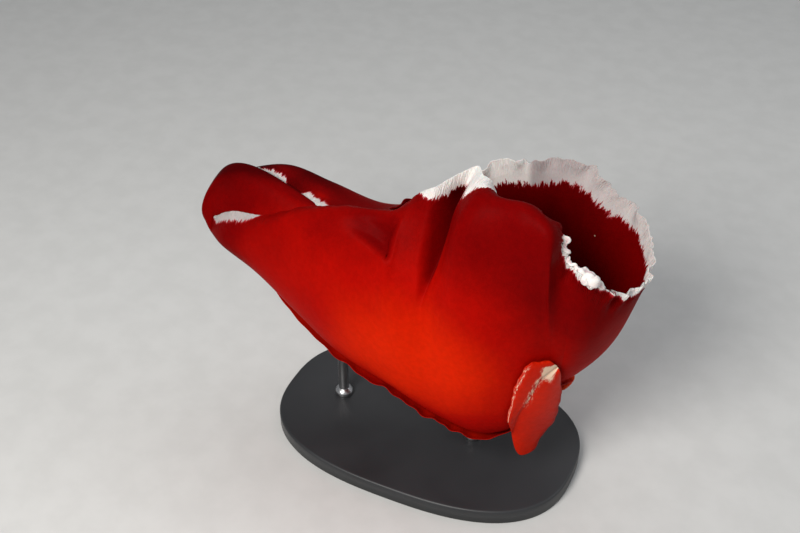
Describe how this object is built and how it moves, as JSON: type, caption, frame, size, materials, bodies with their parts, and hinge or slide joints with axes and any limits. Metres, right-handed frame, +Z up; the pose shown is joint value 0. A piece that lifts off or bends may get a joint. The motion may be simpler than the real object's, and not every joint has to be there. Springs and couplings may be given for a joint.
{
  "type": "spanish dancer nudibranch",
  "caption": "Red sea slug swimming with its wide mantle cupped into a bag and open funnel with a white frilled rim, on a flat stand",
  "frame": {"origin": "centre of the stand's underside, on the surface that it stands on", "axes": "+X to the animal's head, +Y to its left, +Z up; the animal's own origin is 85 mm above the stand's underside"},
  "size_m": [0.2095, 0.0986, 0.1672],
  "materials": {
    "skin": "soft wet skin, orange-red",
    "margin": "white frill, soft",
    "foot": "soft wet skin, deep red",
    "rhinophore": "soft, orange-red",
    "gill": "soft, orange-red",
    "stand_base": "satin black",
    "stand_rod": "brushed"
  },
  "bodies": {
    "root": {"head": "skin", "body": "skin", "tail": "skin", "mantle_right_rear": "skin", "mantle_right_front": "skin", "mantle_front": "skin", "mantle_left_front": "skin", "mantle_left_rear": "skin", "mantle_tail": "skin", "mouth": "skin", "margin_right_rear": "margin", "margin_right_front": "margin", "margin_front": "margin", "margin_left_front": "margin", "margin_left_rear": "margin", "margin_tail": "margin", "foot": "foot", "foot_front": "foot", "oral_tentacle_right": "skin", "oral_tentacle_left": "skin", "rhinophore_right": "rhinophore", "rhinophore_left": "rhinophore", "gill_1": "gill", "gill_2": "gill", "gill_3": "gill", "gill_4": "gill", "gill_5": "gill", "gill_6": "gill", "stand_base": "stand_base", "stand_rod_1": "stand_rod", "stand_rod_2": "stand_rod"}
  },
  "joints": []
}
